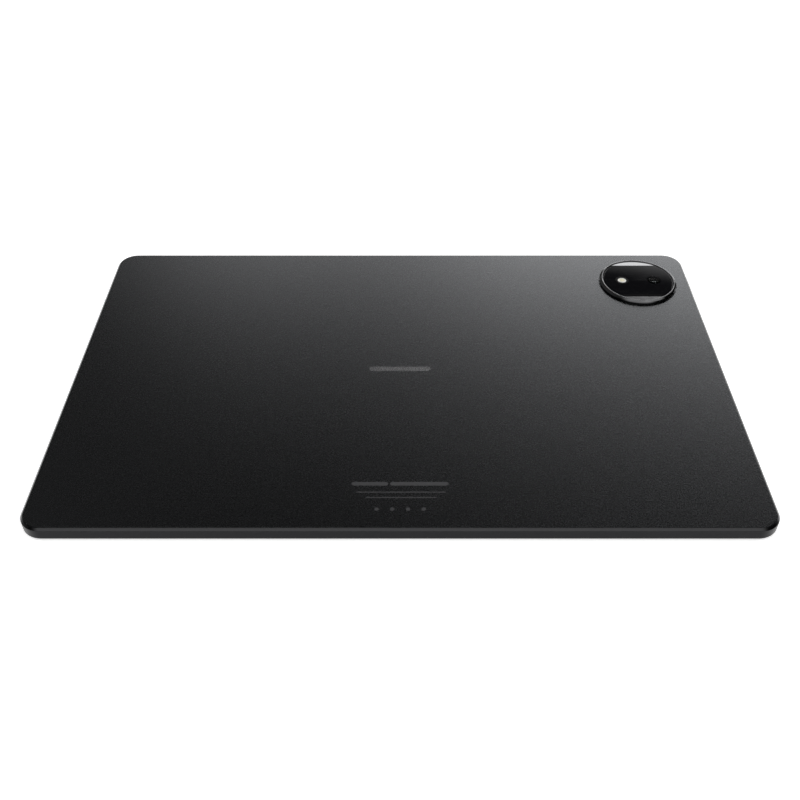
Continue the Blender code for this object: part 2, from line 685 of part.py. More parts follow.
def keys():
    power_place = (BODY_X / 2, POWER_Y, KEY_Z)
    piece("power_key", "anodised_edge", [key_loops(POWER_LENGTH, POWER_FLANGE_GAP)], power_place, "+x")
    power_back = -(BACK_WALL + POWER_FLANGE_GAP + FLANGE_THICK)
    switch_and_plunger("power", power_place, "+x", power_back)

    # The rocker's origin is on its pivot, just inside the wall.
    pivot = BACK_WALL + VOLUME_FLANGE_GAP
    loops = moved_along(key_loops(VOLUME_LENGTH, VOLUME_FLANGE_GAP), pivot)
    piece("volume_rocker", "anodised_edge", [loops], (VOLUME_X, BODY_Y / 2 - pivot, KEY_Z), "+y")
    volume_back = -(BACK_WALL + VOLUME_FLANGE_GAP + FLANGE_THICK)
    for way, shift in (("up", -VOLUME_LEVER), ("down", VOLUME_LEVER)):
        place = (VOLUME_X + shift, BODY_Y / 2, KEY_Z)
        switch_and_plunger(f"volume_{way}", place, "+y", volume_back)
    key_flex()


def key_flex():
    """An L-shaped ribbon that lies under the three switches and ends under the main board."""
    near, far = 82.2 * MM, 84.2 * MM
    outline = [
        (VOLUME_X - VOLUME_LEVER - 2 * MM, near),
        (VOLUME_X - 4 * MM, near),
        (VOLUME_X - 4 * MM, BOARD_TOP - 5 * MM),
        (VOLUME_X + 4 * MM, BOARD_TOP - 5 * MM),
        (VOLUME_X + 4 * MM, near),
        (129.0 * MM, near),
        (129.0 * MM, POWER_Y - 2 * MM),
        (131.0 * MM, POWER_Y - 2 * MM),
        (131.0 * MM, far),
        (VOLUME_X - VOLUME_LEVER - 2 * MM, far),
    ]
    piece("key_flex", "polyimide", [prism(outline, FLOOR_Z, FLOOR_Z + 0.15 * MM)])


# --- Port, sound and radio -----------------------------------------------------------------------------


def port():
    """The socket in the middle of the left side. Heights count outwards from the body's outer face."""
    mouth = (-BODY_X / 2, 0, PORT_Z)
    front, back, floor = -0.12 * MM, -PORT_LENGTH, -PORT_LENGTH + 0.4 * MM
    outer = slot(*[size + 2 * PORT_WALL for size in PORT_INNER], steps=6)
    inner = slot(*PORT_INNER, steps=6)
    lead_in = slot(*[size + 0.3 * MM for size in PORT_INNER], steps=6)
    loops = [(outer, back), (outer, front), (lead_in, front), (inner, front - 0.3 * MM), (inner, floor)]
    piece("usb_shell", "port_steel", [[at_height(o, z) for o, z in loops]], mouth, "-x")
    base = slot(PORT_INNER[0] - 0.2 * MM, PORT_INNER[1] - 0.2 * MM, steps=6)
    root, tip = floor + 0.1 * MM, -0.9 * MM
    shoulder = root + 1.3 * MM
    tongue = piece("usb_tongue", "black_plastic", [prism(base, root, shoulder)], mouth, "-x")
    blade = rounded(*TONGUE, 0.2 * MM, 2)
    combine(tongue, piece("add_blade", None, [prism(blade, root + 0.5 * MM, tip)], mouth, "-x"), "UNION")

    left, right, half = -INNER_X + 0.75 * MM, -SPEAKER_X + SPEAKER[0] / 2, 16 * MM
    notch, notch_end = 5.0 * MM, -BODY_X / 2 + PORT_LENGTH + 0.4 * MM
    outline = [
        (left, -half),
        (right, -half),
        (right, half),
        (left, half),
        (left, notch),
        (notch_end, notch),
        (notch_end, -notch),
        (left, -notch),
    ]
    piece("usb_board", "board_green", [prism(outline, *BOARD_Z)])
    # The ribbon passes beside the battery cells and ends under the main board, past its corner screw.
    start, end, lane = right - 6 * MM, BOARD_LEFT + 8 * MM, (12 * MM, 15 * MM)
    bridge_y = BOARD_STRIP_Y + 8 * MM
    bridge_x = (-112.4 * MM, -111.2 * MM)
    ribbon = [
        (start, lane[0]),
        (bridge_x[1], lane[0]),
        (bridge_x[1], bridge_y),
        (end, bridge_y),
        (end, bridge_y + 5 * MM),
        (bridge_x[0], bridge_y + 5 * MM),
        (bridge_x[0], lane[1]),
        (start, lane[1]),
    ]
    piece("usb_flex", "polyimide", [prism(ribbon, FLOOR_Z, FLOOR_Z + 0.2 * MM)])


def speaker(side, end):
    """A sealed box with a sound duct to the grille and the seats of a large and a small driver."""
    sign, way = (1 if side == "right" else -1), (1 if end == "upper" else -1)
    place = (sign * SPEAKER_X, way * SPEAKER_Y, FLOOR_Z)
    box = block(f"speaker_{side}_{end}", "black_plastic", SPEAKER, place, 0.3 * MM)
    duct = (27 * MM, 1.5 * MM)
    mouth_z = PORT_Z - FLOOR_Z
    outline = rectangle((-duct[0] / 2, mouth_z - duct[1] / 2), (duct[0] / 2, mouth_z + duct[1] / 2))
    facing = "+x" if sign > 0 else "-x"
    depth = prism(outline, SPEAKER[0] / 2 - 3 * MM, SPEAKER[0] / 2 + MM)
    cut(box, f"duct_{side}_{end}", [depth], place, facing)
    top, seat = SPEAKER[2] + MM, SPEAKER[2] - 0.45 * MM
    drivers = [prism(circle(r, 20, (0, y)), seat, top) for r, y in ((7.5 * MM, -8 * MM), (5.5 * MM, 9 * MM))]
    cut(box, f"drivers_{side}_{end}", drivers, place)
    mesh_x = sign * (INNER_X - 0.3 * MM)
    mesh_size = (0.2 * MM, 30 * MM, 2.0 * MM)
    block(f"grille_mesh_{side}_{end}", "fine_mesh", mesh_size, (mesh_x, way * GRILLE_Y, PORT_Z - MM))


def sound():
    for side in ("left", "right"):
        for end in ("upper", "lower"):
            speaker(side, end)
    for side, x in (("left", -MICROPHONE_X), ("right", MICROPHONE_X)):
        microphone = (3.5 * MM, 2.65 * MM, 1.1 * MM)
        block(f"microphone_{side}", "shield_steel", microphone, (x, 85.3 * MM, PORT_Z - 0.55 * MM))


def radio():
    """Bent strip antennas at the ends of the short sides, and the coil that charges a stylus."""
    thick, foot, height, length = 0.3 * MM, 2.5 * MM, 2.3 * MM, 16 * MM
    section = [(0, 0), (foot, 0), (foot, thick), (thick, thick), (thick, height), (0, height)]
    for side, sign in (("left", 1), ("right", -1)):
        wall = -sign * (INNER_X - 0.3 * MM)
        loops = [[(wall + sign * x, y, FLOOR_Z + z) for x, z in section] for y in (-80 * MM, -80 * MM + length)]
        piece(f"antenna_{side}", "copper", [loops])
    outer, inner = rounded(40 * MM, 9 * MM, 4 * MM, 4), rounded(34 * MM, 3.6 * MM, 1.7 * MM, 4)
    low, high = 0, 0.8 * MM
    coil = [at_height(outer, low), at_height(outer, high), at_height(inner, high), at_height(inner, low), "ring"]
    piece("stylus_coil", "copper", [coil], (-86 * MM, 81 * MM, FLOOR_Z))


def main():
    clear_scene()
    enclosure()
    display()
    rear_camera()
    front_camera()
    battery()
    main_board()
    screws()
    keys()
    port()
    sound()
    radio()


main()
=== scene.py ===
"""Looks of the tablet computer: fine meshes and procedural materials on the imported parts, studio, camera.

The tablet lies on its front glass, with its back cover up. +X runs along its long side, and +Y points to the
long edge that carries the volume rocker. An inset is a distance inwards from the body's outline.
"""

import json
import math

import bmesh
import bpy
from mathutils import Matrix, Vector


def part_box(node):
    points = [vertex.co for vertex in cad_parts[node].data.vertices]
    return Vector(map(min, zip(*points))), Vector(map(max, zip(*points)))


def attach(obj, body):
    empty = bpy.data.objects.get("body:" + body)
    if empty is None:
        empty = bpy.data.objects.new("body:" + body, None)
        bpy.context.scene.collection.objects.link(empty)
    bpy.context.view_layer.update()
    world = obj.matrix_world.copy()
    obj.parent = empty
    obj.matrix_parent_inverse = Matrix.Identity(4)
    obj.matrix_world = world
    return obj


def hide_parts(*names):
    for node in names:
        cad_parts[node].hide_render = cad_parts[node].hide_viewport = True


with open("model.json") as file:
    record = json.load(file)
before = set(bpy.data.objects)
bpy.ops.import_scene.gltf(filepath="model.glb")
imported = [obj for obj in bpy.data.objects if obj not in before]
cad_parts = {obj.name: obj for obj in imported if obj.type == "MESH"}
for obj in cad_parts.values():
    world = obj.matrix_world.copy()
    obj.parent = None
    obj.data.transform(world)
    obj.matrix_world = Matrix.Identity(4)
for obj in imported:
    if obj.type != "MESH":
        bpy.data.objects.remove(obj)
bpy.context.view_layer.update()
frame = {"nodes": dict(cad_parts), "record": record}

MM = 0.001
HOUSING = "housing"
POWER_BODY = "power_key_body"
VOLUME_BODY = "volume_rocker_body"
LENS_BODY = "lens_body"


def middle(node):
    """Centre of a CAD node's box."""
    low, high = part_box(node)
    return (low + high) / 2


# Enclosure
BODY_LOW, BODY_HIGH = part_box("mid_frame")
BODY_X, BODY_Y = (BODY_HIGH - BODY_LOW).xy
BODY_CORNER = 8.6 * MM
CORNER_STEPS = 28
LIP_Z = 0.20 * MM
EDGE_ROUND = 1.20 * MM
SHELF_Z = 4.85 * MM
CHAMFER = 0.85 * MM
COVER_SEAT = 0.97 * MM
COVER_Z = (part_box("back_cover")[0].z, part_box("back_cover")[1].z)
COVER_EDGE = BODY_HIGH.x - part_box("back_cover")[1].x
GLASS_SEAT = 1.45 * MM
GLASS_Z = (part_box("front_glass")[0].z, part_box("front_glass")[1].z)
GLASS_EDGE = BODY_HIGH.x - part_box("front_glass")[1].x
FRONT_WALL = 2.00 * MM
BACK_WALL = 3.20 * MM
WEB_Z = (1.55 * MM, 1.95 * MM)
# Normals of the back chamfer's faces that get a lighter copy of the frame metal, a painted highlight
CHAMFER_HIGHLIGHT_FACING_UP = (0.3, 0.95)

# Openings in the side walls
GRILLE_SLOTS = 6
GRILLE_PITCH = 5.0 * MM
GRILLE_SLOT = (3.6 * MM, 1.1 * MM)
PORT = middle("usb_shell")
PORT_DEPTH = 8.5 * MM
PORT_HOLE = (9.18 * MM, 3.40 * MM)
MICROPHONE_RADIUS = 0.5 * MM
KEY_GAP = 0.20 * MM
KEY_HEIGHT = 2.0 * MM
KEY_FLANGE = 2.0 * MM
FLARE = 0.12 * MM

# Plain marks on the back. Bars are pills, given by (x, y, length, height)
MARK_DEPTH = 0.01 * MM
MARK_HEIGHT = 0.015 * MM
CENTRE_BAR = (0.0, 0.4 * MM, 26.0 * MM, 2.8 * MM)
LABEL_BARS = (
    (-11.2 * MM, -67.6 * MM, 13.6 * MM, 1.9 * MM),
    (7.2 * MM, -67.6 * MM, 21.8 * MM, 1.9 * MM),
    (0.4 * MM, -71.9 * MM, 33.0 * MM, 0.5 * MM),
    (0.4 * MM, -74.6 * MM, 26.0 * MM, 0.5 * MM),
)
LABEL_DOT_RADIUS = 0.8 * MM
LABEL_DOT_Y = -80.4 * MM
LABEL_DOTS_X = (-8.5 * MM, -2.8 * MM, 2.9 * MM, 8.6 * MM)

# Rear camera
ISLAND = middle("camera_bezel")
ISLAND_LOW, ISLAND_HIGH = (corner.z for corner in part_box("camera_bezel"))
ISLAND_RADIUS = 18.05 * MM
ISLAND_STEPS = 192
WINDOW_RADIUS = 16.1 * MM
WINDOW_CHORD = 12.5 * MM
WINDOW_CORNER = 0.6 * MM
WINDOW_EDGE = 0.18 * MM
WINDOW_Z = tuple(corner.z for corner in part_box("camera_glass"))
PLATE_Z = 6.85 * MM
LENS = middle("camera_window")
FLASH = middle("flash_window")
LENS_HOLE = 3.2 * MM
FLASH_HOLE = 3.1 * MM
HOLE_CHAMFER = 0.02 * MM
LENS_WELL = 3.9 * MM
FLASH_WELL = 2.7 * MM
CAMERA_SLOT = (28.1 * MM, 13.0 * MM)

# Profile of the island's rim. Drops are measured from its top, and the crest is a narrow level band
RIM_INNER = WINDOW_RADIUS + 0.25 * MM
RIM_CREST = ISLAND_RADIUS - 1.05 * MM
RIM_CREST_WIDTH = 0.30 * MM
RIM_FACETS_MEET = RIM_CREST + 0.70 * MM
RIM_FACETS_DROP = 0.437 * MM
RIM_WALL_DROP = 0.885 * MM
RIM_STEP_DROP = 0.20 * MM

# Plates between the window and the rim. name: (side in Y, height beside the window, fall per unit outwards)
PLATES = {
    "island_plate_far": (1, PLATE_Z + 0.20 * MM, 0.045),
    "island_plate_near": (-1, PLATE_Z - 0.09 * MM, -0.018),
}
PLATE_RADIUS = WINDOW_RADIUS + 0.22 * MM
PLATE_CHORD = WINDOW_CHORD + 0.14 * MM
PLATE_COLUMNS = 48
PLATE_ROWS = 10

# Camera that looks at the scene, from the shape of the outline in perspective
VIEW_PLACE = (0.0, -324.1 * MM, 268.5 * MM)
VIEW_PITCH = 40.81
VIEW_LENS = 44.21
VIEW_SENSOR = 36.0

# Soft panels of the studio, as seen from the tablet. Azimuth 0 lies past its far edge, and 90 at its right.
# name: (azimuth, half width, its softness, elevation, half height, its softness, brightness), in degrees
PANELS = {
    "back": (14.4, 29.9, 7.0, 24.0, 6.9, 1.9, 2.44),
    "back_right": (20.1, 16.1, 6.1, 14.5, 16.4, 1.9, 2.40),
    "left": (-65.4, 44.0, 18.0, 22.4, 44.1, 16.0, 0.13),
    "right": (98.0, 28.0, 10.0, 60.0, 12.0, 4.0, 1.2),
    "front": (180.0, 42.0, 14.0, 41.0, 12.0, 8.0, 0.95),
    "top": (180.0, 85.0, 20.0, 82.0, 14.0, 4.0, 1.3),
}

# Lamps that light the floor and the plastics. Metal and glass don't mirror them.
# name: (azimuth and elevation in degrees, distance, width and height in metres, power in watts)
LAMPS = {
    "left_lamp": (-100, 50, 1.8, 1.4, 1.0, 10.0),
    "right_lamp": (100, 50, 1.8, 1.4, 1.0, 10.0),
}


# --- Mesh tools ----------------------------------------------------------------------------------------


def filleted(corners, steps=4):
    """Rounds the corners of an open section, given as (u, v) or (u, v, radius)."""
    section = [Vector(corners[0][:2])]
    for before, corner, after in zip(corners, corners[1:], corners[2:]):
        tip = Vector(corner[:2])
        if len(corner) < 3:
            section.append(tip)
            continue
        back = (Vector(before[:2]) - tip).normalized()
        ahead = (Vector(after[:2]) - tip).normalized()
        half = back.angle(ahead) / 2
        centre = tip + (back + ahead).normalized() * corner[2] / math.sin(half)
        start = (tip + back * corner[2] / math.tan(half) - centre).normalized()
        end = (tip + ahead * corner[2] / math.tan(half) - centre).normalized()
        section += [centre + start.slerp(end, step / steps) * corner[2] for step in range(steps + 1)]
    section.append(Vector(corners[-1][:2]))
    return section


def rounded(width, height, radius, steps=CORNER_STEPS, centre=(0, 0)):
    """Outline of a rounded rectangle, anticlockwise."""
    points = []
    for quarter, (side_x, side_y) in enumerate(((1, 1), (-1, 1), (-1, -1), (1, -1))):
        x = centre[0] + side_x * (width / 2 - radius)
        y = centre[1] + side_y * (height / 2 - radius)
        for step in range(steps + 1):
            turn = math.radians(90 * (quarter + step / steps))
            point = (x + radius * math.cos(turn), y + radius * math.sin(turn))
            if not points or math.dist(point, points[-1]) > 1e-7:
                points.append(point)
    if math.dist(points[0], points[-1]) < 1e-7:
        points.pop()
    return points


def pill(length, height, steps=10, centre=(0, 0)):
    """Outline with half-round ends."""
    return rounded(length, height, height / 2, steps, centre)


def circle(radius, steps=96, centre=(0, 0)):
    turns = [2 * math.pi * step / steps for step in range(steps)]
    return [(centre[0] + radius * math.cos(t), centre[1] + radius * math.sin(t)) for t in turns]


def clipped_disc(radius, half_height, corner, steps=40):
    """A disc cut off by two level chords, with rounded corners where they meet."""
    inner = radius - corner
    reach = math.asin((half_height - corner) / inner)
    points = []
    for flip in (1, -1):
        for step in range(steps + 1):
            turn = -reach + 2 * reach * step / steps
            points.append((flip * radius * math.cos(turn), flip * radius * math.sin(turn)))
        for step in range(1, 9):
            turn = reach + (math.pi / 2 - reach) * step / 8
            x = inner * math.cos(reach) + corner * math.cos(turn)
            points.append((flip * x, flip * (half_height - corner + corner * math.sin(turn))))
        for step in range(8):
            turn = math.pi / 2 + (math.pi / 2 - reach) * step / 8
            x = -inner * math.cos(reach) + corner * math.cos(turn)
            points.append((flip * x, flip * (half_height - corner + corner * math.sin(turn))))
    return points


def at_height(outline, z):
    return [Vector((x, y, z)) for x, y in outline]


def body_loops(section):
    """Loops that follow the body's outline, one for each (inset, height)."""
    return [at_height(rounded(BODY_X - 2 * i, BODY_Y - 2 * i, BODY_CORNER - i), z) for i, z in section]


def turned(section, steps=96, centre=(0, 0)):
    """Loops of a turned shape, one for each (radius, height)."""
    return [at_height(circle(radius, steps, centre), z) for radius, z in section]


def prism(outline, low, high):
    return [at_height(outline, low), at_height(outline, high)]


def soft_prism(outline_at, low, high, edge, steps=4):
    """A prism with a rounded upper edge. outline_at gives the outline for an inset."""
    loops = [at_height(outline_at(0), low)]
    for step in range(steps + 1):
        turn = math.radians(90 * step / steps)
        inset = edge * (1 - math.cos(turn))
        loops.append(at_height(outline_at(inset), high - edge * (1 - math.sin(turn))))
    return loops


def add_loft(mesh, loops, ring=False):
    """Walls through the loops. A ring joins its last loop to the first. Otherwise both ends are capped."""
    rows = [[mesh.verts.new(point) for point in loop] for loop in loops]
    faces = []
    for lower, upper in zip(rows, rows[1:] + rows[:1] if ring else rows[1:]):
        for here in range(len(lower)):
            following = (here + 1) % len(lower)
            faces.append(mesh.faces.new((lower[here], lower[following], upper[following], upper[here])))
    if not ring:
        faces.append(mesh.faces.new(reversed(rows[0])))
        faces.append(mesh.faces.new(rows[-1]))
    bmesh.ops.recalc_face_normals(mesh, faces=faces)


def mesh_object(name, lofts, place, ring):
    mesh = bmesh.new()
    for loops in lofts:
        add_loft(mesh, loops, ring)
    mesh.transform(place)
    data = bpy.data.meshes.new(name)
    mesh.to_mesh(data)
    mesh.free()
    made = bpy.data.objects.new(name, data)
    bpy.context.scene.collection.objects.link(made)
    return made


def smooth(made, angle=28):
    made.data.shade_smooth()
    made.data.set_sharp_from_angle(angle=math.radians(angle))
    weighted = made.modifiers.new("weighted_normals", "WEIGHTED_NORMAL")
    weighted.keep_sharp = True


def piece(
    name, material, lofts, stands_for=(), body=HOUSING, place=Matrix(), ring=False, holes=(),
):
    """A finished piece of lofts, less the holes, riding on a body and standing for CAD nodes."""
    made = mesh_object(name, lofts, place, ring)
    for hole in holes:
        carve(made, hole)
    made.data.materials.append(material)
    smooth(made)
    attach(made, body)
    if stands_for:
        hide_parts(*stands_for)
    return made


def carve(target, cutter):
    """Takes the cutter's shape out of the target, for good, and removes the cutter."""
    boolean = target.modifiers.new("carve", "BOOLEAN")
    boolean.operation = "DIFFERENCE"
    boolean.object = cutter
    graph = bpy.context.evaluated_depsgraph_get()
    carved = bpy.data.meshes.new_from_object(target.evaluated_get(graph))
    target.modifiers.clear()
    old = target.data
    target.data = carved
    bpy.data.meshes.remove(old)
    bpy.data.objects.remove(cutter)


def wall_place(outward, point):
    """Turns a shape built along +Z so that +Z faces out of a wall and +Y stays up."""
    up = Vector((0, 0, 1))
    out = Vector(outward)
    place = Matrix((up.cross(out), up, out)).transposed().to_4x4()
    place.translation = point
    return place


def mouth(outline_at, depth):
    """A cutter through a wall whose mouth flares out by a small chamfer."""
    flared = outline_at(-FLARE)
    return [
        at_height(outline_at(0), -depth),
        at_height(outline_at(0), -FLARE),
        at_height(flared, 0),
        at_height(flared, MM),
    ]


# --- Material tools ------------------------------------------------------------------------------------


class Shader:
    """A Principled material with short calls for procedural detail in object coordinates."""

    def __init__(self, name, colour, roughness, metallic=0.0, **uniform):
        self.material = bpy.data.materials.new(name)
        self.material.use_nodes = True
        self.tree = self.material.node_tree
        self.surface = self.tree.nodes["Principled BSDF"]
        self.set("Base Color", (*colour, 1))
        self.set("Roughness", roughness)
        self.set("Metallic", metallic)
        for socket, value in uniform.items():
            self.set(socket.replace("_", " "), value)
        self.material.diffuse_color = (*colour, 1)
        self.position = self.node("ShaderNodeTexCoord").outputs["Object"]

    def set(self, socket, value):
        self.surface.inputs[socket].default_value = value

    def node(self, kind, inputs=(), **settings):
        made = self.tree.nodes.new(kind)
        for key, value in settings.items():
            setattr(made, key, value)
        for socket, value in dict(inputs).items():
            if isinstance(value, bpy.types.NodeSocket):
                self.tree.links.new(value, made.inputs[socket])
            else:
                made.inputs[socket].default_value = value
        return made

    def math(self, operation, *values, clamp=False):
        made = self.node("ShaderNodeMath", enumerate(values), operation=operation, use_clamp=clamp)
        return made.outputs[0]

    def noise(self, per_metre, detail=2.0, stretch=(1, 1, 1)):
        scaled = self.node("ShaderNodeVectorMath", {0: self.position, 1: stretch}, operation="MULTIPLY")
        inputs = {"Vector": scaled.outputs[0], "Scale": per_metre, "Detail": detail}
        return self.node("ShaderNodeTexNoise", inputs).outputs["Fac"]

    def cells(self, per_metre, output="Distance"):
        inputs = {"Vector": self.position, "Scale": per_metre}
        return self.node("ShaderNodeTexVoronoi", inputs).outputs[output]

    def to_range(self, value, low, high, start=0.0, end=1.0):
        inputs = {"Value": value, "From Min": start, "From Max": end, "To Min": low, "To Max": high}
        return self.node("ShaderNodeMapRange", inputs).outputs["Result"]

    def blend(self, factor, first, second):
        mix = self.node("ShaderNodeMix", data_type="RGBA")
        self.tree.links.new(factor, mix.inputs[0])
        for socket, colour in ((mix.inputs[6], first), (mix.inputs[7], second)):
            if isinstance(colour, bpy.types.NodeSocket):
                self.tree.links.new(colour, socket)
            else:
                socket.default_value = (*colour, 1)
        return mix.outputs[2]

    def link(self, value, socket):
        self.tree.links.new(value, self.surface.inputs[socket])

    def bump(self, height, distance, strength=1.0):
        made = self.node("ShaderNodeBump", {"Height": height, "Distance": distance, "Strength": strength})
        self.link(made.outputs["Normal"], "Normal")

    def distance_from(self, centre):
        """Distance of a point from a centre, as seen from above."""
        moved = self.node("ShaderNodeVectorMath", {0: self.position, 1: tuple(centre)}, operation="SUBTRACT")
        level = self.node("ShaderNodeVectorMath", {0: moved.outputs[0], 1: (1, 1, 0)}, operation="MULTIPLY")
        return self.node("ShaderNodeVectorMath", {0: level.outputs[0]}, operation="LENGTH").outputs["Value"]

    def stripes(self, axis, radians_per_metre):
        """Sine waves along an object axis, from -1 to 1."""
        split = self.node("ShaderNodeSeparateXYZ", {0: self.position})
        return self.math("SINE", self.math("MULTIPLY", split.outputs[axis], radians_per_metre))


def grained_metal(name, colour, roughness, grain, flake_per_metre, bump, metallic=1.0, **uniform):
    """Blasted and dyed metal: fine flakes that differ in tone, gloss and tilt, with a faint wider mottle."""
    made = Shader(name, colour, roughness, metallic, **uniform)
    flakes = made.node("ShaderNodeSeparateColor", {0: made.cells(flake_per_metre, "Color")}).outputs[0]
    mottle = made.noise(flake_per_metre / 6, 3.0)
    tone = made.math("ADD", made.math("MULTIPLY", flakes, 0.8), made.math("MULTIPLY", mottle, 0.3))
    darker = [channel * (1 - grain) for channel in colour]
    lighter = [channel * (1 + grain) for channel in colour]
    made.link(made.blend(made.to_range(tone, 0, 1, 0.2, 1.1), darker, lighter), "Base Color")
    made.link(made.to_range(flakes, roughness - 0.01, roughness + 0.01), "Roughness")
    made.bump(made.noise(flake_per_metre * 1.5, 1.0), bump)
    return made.material


def moulded_plastic(name, colour, roughness, grain_per_metre=4000, bump=0.00001, **uniform):
    """Moulded plastic with a fine eroded texture."""
    made = Shader(name, colour, roughness, **uniform)
    grain = made.noise(grain_per_metre, 3.0)
    lighter = [channel * 1.25 for channel in colour]
    made.link(made.blend(made.noise(grain_per_metre / 20), colour, lighter), "Base Color")
    made.link(made.to_range(grain, roughness - 0.06, roughness + 0.08, 0.3, 0.7), "Roughness")
    made.bump(grain, bump)
    return made.material


def turned_metal(name, colour, roughness, centre, rings_per_metre=9000):
    """Polished metal with the faint rings of a lathe round a centre."""
    made = Shader(name, colour, roughness, 1.0)
    rings = made.math("SINE", made.math("MULTIPLY", made.distance_from(centre), rings_per_metre))
    smear = made.noise(300, 2.0)
    made.link(made.to_range(smear, roughness * 0.7, roughness * 1.5, 0.3, 0.7), "Roughness")
    lighter = [channel * 1.1 for channel in colour]
    made.link(made.blend(made.to_range(rings, 0, 1, -1, 1), colour, lighter), "Base Color")
    made.bump(rings, 0.0000004)
    return made.material


def clean_glass(name, colour, roughness, **uniform):
    """Polished glass with barely visible wipe marks."""
    made = Shader(name, colour, roughness, **uniform)
    wipe = made.noise(60, 3.0, (1, 4, 1))
    made.link(made.to_range(wipe, roughness, roughness + 0.04, 0.5, 0.9), "Roughness")
    return made


def front_glass_material():
    """Black glass with a printed border. Inside the border the switched-off panel is a little bluer."""
    made = clean_glass("black_front_glass", (0.004, 0.004, 0.005), 0.03, IOR=1.52, Coat_Weight=0.3)
    split = made.node("ShaderNodeSeparateXYZ", {0: made.position})
    border = 6.5 * MM
    corner = 6.0 * MM
    past = []
    for axis, size in (("X", BODY_X), ("Y", BODY_Y)):
        reach = made.math("ABSOLUTE", split.outputs[axis])
        past.append(made.math("MAXIMUM", made.math("SUBTRACT", reach, size / 2 - border - corner), 0.0))
    squares = [made.math("MULTIPLY", value, value) for value in past]
    away = made.math("SQRT", made.math("ADD", *squares))
    panel = made.to_range(away, 1, 0, corner - 0.05 * MM, corner + 0.05 * MM)
    made.link(made.blend(panel, (0.0025, 0.0025, 0.003), (0.010, 0.011, 0.014)), "Base Color")
    return made.material


def coated_lens(name, tint, centre, radius):
    """Lens glass whose coating turns from one tint to a darker violet towards its rim."""
    made = Shader(name, tint, 0.10, 0.9, Specular_IOR_Level=0.1)
    out = made.to_range(made.distance_from(centre), 0, 1, 0.6 * radius, radius)
    made.link(made.blend(out, tint, (0.002, 0.001, 0.003)), "Base Color")
    return made.material


def woven_mesh(name, colour):
    """Black coated wire cloth: the raised wires are painted lighter than the holes, a painted highlight on
    the wires and painted shade in the holes.
    """
    made = Shader(name, colour, 0.6, 0.6)
    weave = made.math("MAXIMUM", *(made.stripes(axis, 16000) for axis in ("Y", "Z")))
    lighter = [channel * 4 for channel in colour]
    # Painted highlight on the wires and painted shade in the holes
    made.link(made.blend(made.to_range(weave, 0, 1), colour, lighter), "Base Color")
    made.bump(weave, 0.00004)
    return made.material


def circuit_board(name):
    """Green solder mask over fine copper runs, with small pale pads."""
    made = Shader(name, (0.015, 0.085, 0.035), 0.38)
    steps = made.node("ShaderNodeTexBrick", {"Vector": made.position, "Scale": 260.0, "Mortar Size": 0.03})
    runs = made.to_range(steps.outputs["Fac"], 0, 1)
    pads = made.to_range(made.cells(500), 1, 0, 0.10, 0.14)
    mask = made.blend(runs, (0.012, 0.075, 0.030), (0.030, 0.140, 0.060))
    made.link(made.blend(pads, mask, (0.60, 0.52, 0.30)), "Base Color")
    made.bump(runs, 0.00002)
    return made.material


def wrinkled_foil(name):
    """Black laminated foil with shallow wrinkles, painted darker in their hollows and lighter on their
    crests: painted shade.
    """
    made = Shader(name, (0.05, 0.05, 0.055), 0.42, 0.4)
    folds = made.noise(120, 4.0)
    made.link(made.to_range(folds, 0.34, 0.52), "Roughness")
    # Colour follows the wrinkle height: painted shade in the hollows
    made.link(made.blend(folds, (0.04, 0.04, 0.044), (0.07, 0.07, 0.075)), "Base Color")
    made.bump(folds, 0.0001)
    return made.material


def wound_copper(name):
    """Enamelled copper with fine parallel turns, painted darker between the turns and lighter on their
    crests: painted shade.
    """
    made = Shader(name, (0.70, 0.32, 0.18), 0.3, 1.0)
    turns = made.stripes("Y", 20000)
    shade = made.to_range(turns, 0, 1, -1, 1)
    # Darker copper in the grooves between turns is painted shade
    made.link(made.blend(shade, (0.45, 0.18, 0.09), (0.78, 0.38, 0.22)), "Base Color")
    made.bump(turns, 0.00003)
    return made.material


def amber_film(name):
    """Amber film circuit with fine copper lines showing through."""
    made = Shader(name, (0.40, 0.18, 0.04), 0.35, Coat_Weight=0.3)
    lines = made.stripes("X", 9000)
    shade = made.to_range(lines, 0, 1, 0.2, 0.6)
    made.link(made.blend(shade, (0.36, 0.15, 0.03), (0.60, 0.30, 0.10)), "Base Color")
    made.bump(lines, 0.00001)
    return made.material


def milky_diffuser(name, centre):
    """Milky flash window with the warm glow of the light source in its middle."""
    made = Shader(name, (0.86, 0.85, 0.78), 0.22, Coat_Weight=0.6)
    away = made.distance_from(centre)
    tone = made.blend(made.to_range(away, 0, 1, 0.4 * MM, 1.6 * MM), (0.92, 0.86, 0.62), (0.84, 0.84, 0.80))
    made.link(tone, "Base Color")
    made.bump(made.math("SINE", made.math("MULTIPLY", away, 14000)), 0.00002)
    return made.material


